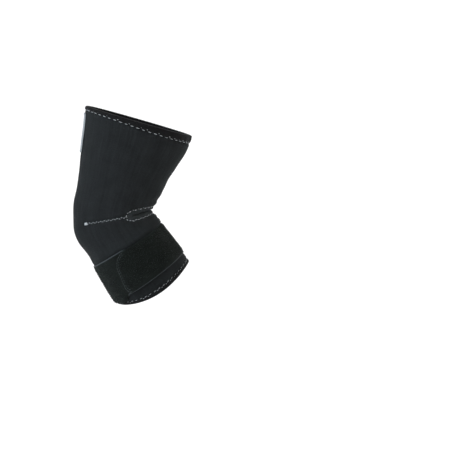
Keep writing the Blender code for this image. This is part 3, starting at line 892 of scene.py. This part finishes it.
def distance_to_line(points, line):
    """The distance from each of many flat points to the nearest of a line's points."""
    nearest = np.full(len(points), np.inf)
    for start in range(0, len(line), 64):
        apart = points[:, None] - line[None, start : start + 64]
        nearest = np.minimum(nearest, np.hypot(apart[..., 0], apart[..., 1]).min(axis=1))
    return nearest


def plain_relief(gone, down, near):
    return 0.0


def lies_straight(angles, share):
    return angles, 0.0, 0.0


def nothing_hidden(angles):
    return np.zeros(len(angles)), np.zeros(len(angles))


END_POINTS = 60


def lying_band(
    name, top, bottom, angles, offsets, thickness, corners, face_rows, edge_round,
    relief=plain_relief, lie=lies_straight, hidden=nothing_hidden,
):
    """A closed band on the sleeve with rounded edges, and each face's distance in from its long edges.

    relief(gone, down, near) gives how far its outer face stands out, from the length walked along
    it, the way down it and the distance in from its outline. lie(angles, share) gives the angles
    at a share of the way down it, how far it has slipped down there and how far it is lifted.
    hidden(angles) gives how much of its upper and lower edges the pile hides. offsets is a
    function of the angle.
    """
    hidden_above, hidden_below = hidden(angles)
    middle = np.full(len(angles), (top + bottom) / 2)
    gone = walked(off_skin(middle, angles, offsets(angles)))
    left = gone[-1] - gone
    scale = stretch(middle, angles)
    full_width = (bottom - top) * scale
    (first_top, first_bottom), (last_top, last_bottom) = corners
    upper_down = np.maximum(corner_inset(gone, first_top), corner_inset(left, last_top))
    lower_inset = np.maximum(corner_inset(gone, first_bottom), corner_inset(left, last_bottom))
    lower_down = full_width - lower_inset
    width = lower_down - upper_down
    outline = [np.stack([gone, edge], axis=1) for edge in (upper_down, lower_down)]
    for end in (0, -1):
        end_down = np.linspace(upper_down[end], lower_down[end], END_POINTS)
        outline.append(np.stack([np.full(END_POINTS, gone[end]), end_down], axis=1))
    outline = np.concatenate(outline)
    # The band thins to a round nose at both of its ends.
    to_end = np.minimum(gone, left)
    nose = np.sqrt(np.clip(1 - (1 - np.clip(to_end / edge_round, 0, 1)) ** 2, 0.02, 1))
    edge_turns = np.linspace(0, math.pi, 6)[1:-1]
    ring = [("face", share) for share in np.linspace(0, 1, face_rows)]
    ring += [("low_edge", turn) for turn in edge_turns]
    ring += [("back", share) for share in np.linspace(1, 0, max(5, face_rows // 3))]
    ring += [("high_edge", turn) for turn in edge_turns]
    half = thickness / 2 * nose
    points, across, insets = [], [], []
    for kind, value in ring:
        if kind in ("face", "back"):
            distance = edge_round + (width - 2 * edge_round) * value
            down = upper_down + distance
            inset = np.minimum(down + hidden_above, full_width - down + hidden_below)
            near = distance_to_line(np.stack([gone, down], axis=1), outline)
            height = half + relief(gone, down, near) * nose if kind == "face" else -half
        elif kind == "low_edge":
            inset = hidden_below
            distance = width - edge_round + edge_round * math.sin(value)
            height = half * math.cos(value)
        else:
            inset = hidden_above
            distance = edge_round - edge_round * math.sin(value)
            height = -half * math.cos(value)
        stations = top + (upper_down + distance) / scale
        leant, slipped, lifted = lie(angles, np.clip((stations - top) / (bottom - top), 0, 1))
        middle_offset = offsets(leant) + lifted + thickness / 2
        points.append(off_skin(stations + slipped / scale, leant, middle_offset + height))
        across.append(np.broadcast_to(distance, angles.shape))
        insets.append(inset)
    points = np.swapaxes(np.array(points), 0, 1)
    across = np.array(across).T
    insets = np.array(insets).T[:, ::-1]
    inset_between = (insets[:-1] + insets[1:]) / 2
    face_inset = (inset_between + np.roll(inset_between, -1, axis=1)) / 2
    cloth = np.stack([np.broadcast_to(gone[:, None], across.shape), across], axis=-1) / MM
    cloth = np.concatenate([cloth, cloth[:, :1]], axis=1)
    mesh = grid_mesh(name, points[:, ::-1], cloth[:, ::-1], closed_round=True, caps=True)
    return mesh, np.append(face_inset.ravel(), [0.0, 0.0])


def strap_offset(angles):
    on_strap = STRAP_THICKNESS + HOOK_THICKNESS + 2 * CLEARANCE
    ramp_from = STRAP_INNER_END + TURN - STRAP_RAMP
    climbed = smooth_step((angles - ramp_from) / (STRAP_CLIMB_SHARE * STRAP_RAMP))
    return CLEARANCE + on_strap * climbed


# The width of the paler selvedge line along the strap's long edges, which is partly a painted highlight
SELVEDGE_WIDTH = 0.9 * MM

# How far the strap's edges lie beyond the sections named for them
STRAP_SPREAD_ABOVE = 1.3 * MM
STRAP_SPREAD_BELOW = 1.2 * MM
STRAP_EDGES = STATION["strap_top"] - STRAP_SPREAD_ABOVE, STATION["strap_bottom"] + STRAP_SPREAD_BELOW

# How far the strap's upper edge is pushed down where the cloth runs up against it
STRAP_PUSHED_DOWN = 1.8 * MM

# How far the strap's lower edge has slipped down over the hem, at angles from the front
STRAP_SLIP_ANGLES = np.radians([0, 121, 127, 133, 140, 150, 165, 180, 210, 250])
STRAP_SLIPS = np.array([0, 0, 1.5, 4.8, 5.4, 5.0, 3.2, 2.2, 1.0, 0]) * MM
STRAP_SLIP_LIFT = 0.8 * MM

# Unevenness of the pile: millimetres to a wave across and along the strap, phase, height
PILE_WAVES = [
    (7.3, 19.0, 0.3, 0.08),
    (-5.1, 11.3, 1.9, 0.07),
    (3.4, -6.7, 4.4, 0.06),
    (-2.9, 4.3, 2.6, 0.06),
]


def pile_relief(gone, down, near):
    """The pile stands above the flat selvedge, uneven where it has been pressed and brushed."""
    inside = smooth_step((near - SELVEDGE_WIDTH) / (0.7 * MM))
    uneven = 0
    for across_mm, along_mm, phase, height in PILE_WAVES:
        uneven = uneven + height * np.sin(TURN * (gone / along_mm + down / across_mm) / MM + phase)
    return (0.35 * inside + uneven * inside - 0.15) * MM


def on_outer_turn(angles):
    """0 on the strap's first turn, and 1 where its second is well on top of it."""
    return smooth_step((angles - math.radians(345)) / math.radians(20))


def under_the_crook(angles):
    """1 along the strap where it passes below the crook, on either turn, and 0 at the back."""
    return smooth_step((math.radians(97) - angles) / math.radians(12)) + on_outer_turn(angles)


def strap_lie(angles, share):
    """The strap's end slants, its upper edge is pushed down below the crook, and at the back its
    lower edge has slipped down and ripples.
    """
    near_end = smooth_step((angles - TONGUE_LEAN_FROM) / (STRAP_OUTER_END - TONGUE_LEAN_FROM))
    leant = angles - TONGUE_LEAN * (1 - share) * near_end
    slip = np.interp(angles, STRAP_SLIP_ANGLES, STRAP_SLIPS) * share**3
    lifted = STRAP_SLIP_LIFT * slip / STRAP_SLIPS.max()
    pushed = STRAP_PUSHED_DOWN * (1 - share) ** 3 * under_the_crook(angles)
    return leant, pushed + slip * (1 + 0.25 * np.sin(31 * angles)), lifted


def strap_selvedge_hidden(angles):
    """How far the pile covers the selvedge, keeping its paler line, partly a painted highlight, off the
    edge:
    above below the crook, below where it has slipped, and a little all along the outer turn's lower edge.
    """
    slip = np.interp(angles, STRAP_SLIP_ANGLES, STRAP_SLIPS)
    below = 2 * smooth_step(slip / (1.5 * MM)) + 0.6 * on_outer_turn(angles)
    return 2 * SELVEDGE_WIDTH * under_the_crook(angles), SELVEDGE_WIDTH * below


def make_strap():
    steps = np.linspace(STRAP_INNER_END, STRAP_OUTER_END, 420)
    close = np.radians([0.15, 0.4, 0.8, 1.3])
    angles = np.unique(np.concatenate([steps, STRAP_INNER_END + close, STRAP_OUTER_END - close]))
    corners = (0, 0), (TONGUE_TOP_RADIUS, TONGUE_BOTTOM_RADIUS)
    mesh, inset = lying_band(
        "wrap_strap", *STRAP_EDGES, angles, strap_offset, STRAP_THICKNESS, corners,
        face_rows=41, edge_round=1.0 * MM,
        relief=pile_relief, lie=strap_lie, hidden=strap_selvedge_hidden,
    )
    # Faces near the long edges take the paler selvedge, which is partly a painted highlight along the edge.
    mesh.polygons.foreach_set("material_index", (inset < SELVEDGE_WIDTH).astype(np.int32))
    return new_piece("wrap_strap", mesh, [PILE, SELVEDGE], ["strap"])


def running_stitches(line, length_each, radius, surface):
    """Short runs of thread along a flat line. surface(across, down, lift) gives points and normals."""
    lengths = walked(line)
    stitches = round(lengths[-1] / length_each)
    lift = radius * (np.sin(np.linspace(0, math.pi, 9)) ** 0.5 - 0.8)
    runs = []
    for k in range(stitches):
        at = np.linspace(k + 0.12, k + 0.78, 9) / stitches * lengths[-1]
        across, down = [np.interp(at, lengths, places) for places in line.T]
        runs.append((*surface(across, down, lift), False))
    return runs


def make_tongue_stitches():
    """Two rows of dull stitches that close the strap's end, just inside its round corners."""
    radius = 0.22 * MM
    top, bottom = STRAP_EDGES
    middle = (top + bottom) / 2
    scale = float(stretch(middle, STRAP_OUTER_END))
    width = (bottom - top) * scale
    steps = np.linspace(STRAP_OUTER_END, STRAP_OUTER_END - 0.7, 80)
    gone = walked(off_skin(middle, steps, strap_offset(steps)))

    def on_tongue(to_end, down, lift):
        share = down / width
        angles, slipped, _ = strap_lie(np.interp(to_end, gone, steps), share)
        stations = top + share * (bottom - top) + slipped / scale
        height = strap_offset(angles) + STRAP_THICKNESS + 0.2 * MM + lift
        return off_skin(stations, angles, height), outward(stations, angles)

    runs = []
    turn = np.linspace(0, math.pi / 2, 12)
    for margin in (1.3 * MM, 3.4 * MM):
        upper, lower = TONGUE_TOP_RADIUS - margin, TONGUE_BOTTOM_RADIUS - margin
        to_end = margin + np.concatenate([upper * (1 - np.sin(turn)), lower * (1 - np.cos(turn))])
        from_top = margin + upper * (1 - np.cos(turn))
        from_bottom = width - margin - lower * (1 - np.sin(turn))
        line = np.stack([to_end, np.concatenate([from_top, from_bottom])], axis=1)
        runs += running_stitches(line, 3.2 * MM, radius, on_tongue)
    mesh = thread_mesh("tongue_stitches", runs, radius)
    return new_piece("tongue_stitches", mesh, [TONGUE_THREAD])


PILE_LOOPS = 5600


def make_pile_fuzz():
    """Single loops that stand up from the pile, drawn about twice their real size so that they show."""
    rng = np.random.default_rng(11)
    angles = rng.uniform(STRAP_OUTER_END - TURN + 0.06, STRAP_OUTER_END - 0.06, PILE_LOOPS)
    share = rng.uniform(0, 1, PILE_LOOPS)
    top, bottom = STATION["strap_top"], STATION["strap_bottom"]
    width = (bottom - top) * stretch((top + bottom) / 2, angles)
    down = share * width
    left = (STRAP_OUTER_END - angles) * STRAP_RADIUS
    margin = SELVEDGE_WIDTH + 0.8 * MM
    clear_above = down - corner_inset(left, TONGUE_TOP_RADIUS) > margin
    clear_below = width - down - corner_inset(left, TONGUE_BOTTOM_RADIUS) > margin
    keep = clear_above & clear_below
    angles, slipped, lifted = strap_lie(angles[keep], share[keep])
    stations = top + share[keep] * (bottom - top)
    stations = stations + slipped / stretch(stations, angles)
    base = off_skin(stations, angles, strap_offset(angles) + lifted + STRAP_THICKNESS + 0.15 * MM)
    up = outward(stations, angles)
    aside = unit(down_the_sleeve(stations, angles))
    along = np.cross(up, aside)
    turn = np.linspace(0, math.pi, 5)[:, None]
    runs = []
    for k in range(len(base)):
        heading = rng.uniform(0, TURN)
        lean = rng.normal(0, 0.35)
        tall = rng.uniform(0.35, 0.75) * MM
        wide = rng.uniform(0.35, 0.7) * MM
        flat = math.cos(heading) * along[k] + math.sin(heading) * aside[k]
        cross = np.cross(up[k], flat)
        rise = up[k] * math.cos(lean) + cross * math.sin(lean)
        points = base[k] + wide * np.cos(turn) * flat + tall * np.sin(turn) * rise
        runs.append((points, np.broadcast_to(cross, points.shape), False))
    mesh = thread_mesh("pile_fuzz", runs, 0.085 * MM, sides=3)
    return new_piece("pile_fuzz", mesh, [PILE_FIBRE])


def hook_lie(angles, share):
    """The hook tape's end slants as the tongue over it does."""
    leant, _, _ = strap_lie(angles + TURN, share)
    return leant - TURN, 0.0, 0.0


def make_hook_tape():
    mesh, _ = lying_band(
        "hook_tape",
        STATION["strap_top"] + HOOK_MARGIN,
        STATION["strap_bottom"] - HOOK_MARGIN,
        np.linspace(HOOK_FROM, HOOK_TO, 60),
        lambda at: np.full(len(at), 2 * CLEARANCE + STRAP_THICKNESS),
        HOOK_THICKNESS,
        ((0, 0), (TONGUE_TOP_RADIUS, 0)),
        face_rows=15, edge_round=0.4 * MM, lie=hook_lie,
    )
    return new_piece("hook_tape", mesh, [HOOKS], ["hook_tab"])


def make_label():
    even = np.linspace(-1, 1, 60)
    angles = math.pi + LABEL_HALF_ANGLE * (0.55 * np.sin(even * math.pi / 2) + 0.45 * even)
    corners = (LABEL_CORNER, LABEL_CORNER)

    def hemmed(gone, down, near):
        return 0.18 * MM * (1 - smooth_step((near - 2.4 * MM) / (0.6 * MM)))

    mesh, _ = lying_band(
        "back_label",
        LABEL_TOP,
        LABEL_TOP + LABEL_HEIGHT,
        angles,
        lambda at: np.full(len(at), CLEARANCE),
        LABEL_THICKNESS,
        (corners, corners),
        face_rows=41, edge_round=0.4 * MM, relief=hemmed,
    )
    return new_piece("back_label", mesh, [SATIN], ["label_patch"])


def make_label_stitches():
    """A running stitch round the label, just inside its edge."""
    margin = 1.5 * MM
    radius = 0.22 * MM
    middle = LABEL_TOP + LABEL_HEIGHT / 2
    round_it = math.pi + np.linspace(-LABEL_HALF_ANGLE, LABEL_HALF_ANGLE, 60)
    half_round = walked(skin(middle, round_it))[-1] / 2
    scale = float(stretch(middle, math.pi))
    reach_round, reach_down = half_round - margin, LABEL_HEIGHT * scale / 2 - margin
    corner = LABEL_CORNER - margin
    line = []
    for quarter, (sx, sy) in enumerate(((1, 1), (-1, 1), (-1, -1), (1, -1))):
        centre = (sx * (reach_round - corner), sy * (reach_down - corner))
        for turn in np.linspace(0, math.pi / 2, 9) + quarter * math.pi / 2:
            line.append((centre[0] + corner * math.cos(turn), centre[1] + corner * math.sin(turn)))
    line.append(line[0])

    def on_label(across, down, lift):
        angles = math.pi + across / half_round * LABEL_HALF_ANGLE
        stations = middle + down / scale
        points = off_skin(stations, angles, CLEARANCE + LABEL_THICKNESS + 0.18 * MM + lift)
        return points, outward(stations, angles)

    runs = running_stitches(np.array(line), 3.0 * MM, radius, on_label)
    mesh = thread_mesh("label_stitches", runs, radius)
    return new_piece("label_stitches", mesh, [HEM_THREAD])


# Studio

FLOOR_Z = -0.62

# The paper's rings: radius, and height above the floor, where it sweeps up
PAPER_RINGS = [
    (0.01, 0.0), (1.5, 0.0), (3.0, 0.0), (3.6, 0.05), (4.2, 0.25),
    (4.7, 0.7), (5.0, 1.4), (5.1, 2.4), (5.1, 4.0),
]


def make_studio():
    turn = np.linspace(0, TURN, 96, endpoint=False)
    rings = []
    for radius, height in PAPER_RINGS:
        level = np.full(96, FLOOR_Z + height)
        rings.append(np.stack([radius * np.cos(turn), radius * np.sin(turn), level], axis=1))
    cloth = flat_places(np.linspace(0, 1, 97), np.linspace(0, 1, len(rings)))
    mesh = grid_mesh("studio_floor", np.array(rings), cloth, closed_round=True)
    mesh.shade_smooth()
    mesh.materials.append(PAPER)
    floor = bpy.data.objects.new("studio_floor", mesh)
    bpy.context.scene.collection.objects.link(floor)


def add_softbox(name, place, aim, size, power, colour):
    light = bpy.data.lights.new(name, "AREA")
    light.shape = "RECTANGLE"
    light.size, light.size_y = size
    light.energy = power
    light.color = linear(colour)[:3]
    lamp = bpy.data.objects.new(name, light)
    lamp.location = place
    lamp.rotation_euler = (Vector(aim) - Vector(place)).to_track_quat("-Z", "Y").to_euler()
    bpy.context.scene.collection.objects.link(lamp)


def light_the_studio():
    world = bpy.data.worlds.new("studio")
    world.use_nodes = True
    background = world.node_tree.nodes["Background"]
    background.inputs["Color"].default_value = linear("#ffffff")
    background.inputs["Strength"].default_value = 1.03
    bpy.context.scene.world = world
    add_softbox("key", (-1.6, -0.9, 0.9), (0.02, 0, 0.02), (0.9, 0.9), 60, "#eef5ff")
    add_softbox("fill", (1.4, -0.9, 1.1), (0.02, 0, 0.0), (0.8, 1.2), 20, "#fff3ea")


# The photograph's camera: 1.15 mm to a pixel at the plane of the bend, aimed at the picture's middle
CAMERA_AIM = np.array([130, 0, -9.2]) * MM
CAMERA_ELEVATION = math.radians(5.5)
CAMERA_DISTANCE = 1.5
PICTURE_WIDTH = 450 * 1.15 * MM
SENSOR = 36.0


def place_camera():
    camera = bpy.data.cameras.new("camera")
    camera.sensor_width = SENSOR
    camera.lens = SENSOR * CAMERA_DISTANCE / PICTURE_WIDTH
    camera.clip_start = 0.05
    camera.clip_end = 50
    holder = bpy.data.objects.new("camera", camera)
    back = np.array([0, -math.cos(CAMERA_ELEVATION), math.sin(CAMERA_ELEVATION)])
    holder.location = CAMERA_AIM + back * CAMERA_DISTANCE
    holder.rotation_euler = (math.pi / 2 - CAMERA_ELEVATION, 0, 0)
    bpy.context.scene.collection.objects.link(holder)
    bpy.context.scene.camera = holder


def main():
    sleeve = make_sleeve()
    insert = make_crook_insert()
    top_tape = make_tape("top_tape", "top_edge", "top_binding")
    bottom_tape = make_tape("bottom_tape", "bottom_edge", "bottom_binding")
    top_zigzag = make_hem_zigzag("top_zigzag", "top_edge", 0.36 * MM)
    bottom_zigzag = make_hem_zigzag("bottom_zigzag", "bottom_edge", 0.28 * MM)
    top_inner = make_hem_zigzag("top_zigzag_inside", "top_edge", 0.30 * MM, outside=False)
    bottom_inner = make_hem_zigzag("bottom_zigzag_inside", "bottom_edge", 0.26 * MM, outside=False)
    oval_zigzag = make_oval_zigzag()
    dart = make_dart_stitches()
    tacks = make_dart_tacks()
    strap = make_strap()
    fuzz = make_pile_fuzz()
    tongue_stitches = make_tongue_stitches()
    make_hook_tape()
    label = make_label()
    label_stitches = make_label_stitches()
    make_studio()
    light_the_studio()
    place_camera()
    bpy.context.scene.view_settings.view_transform = "Standard"


main()
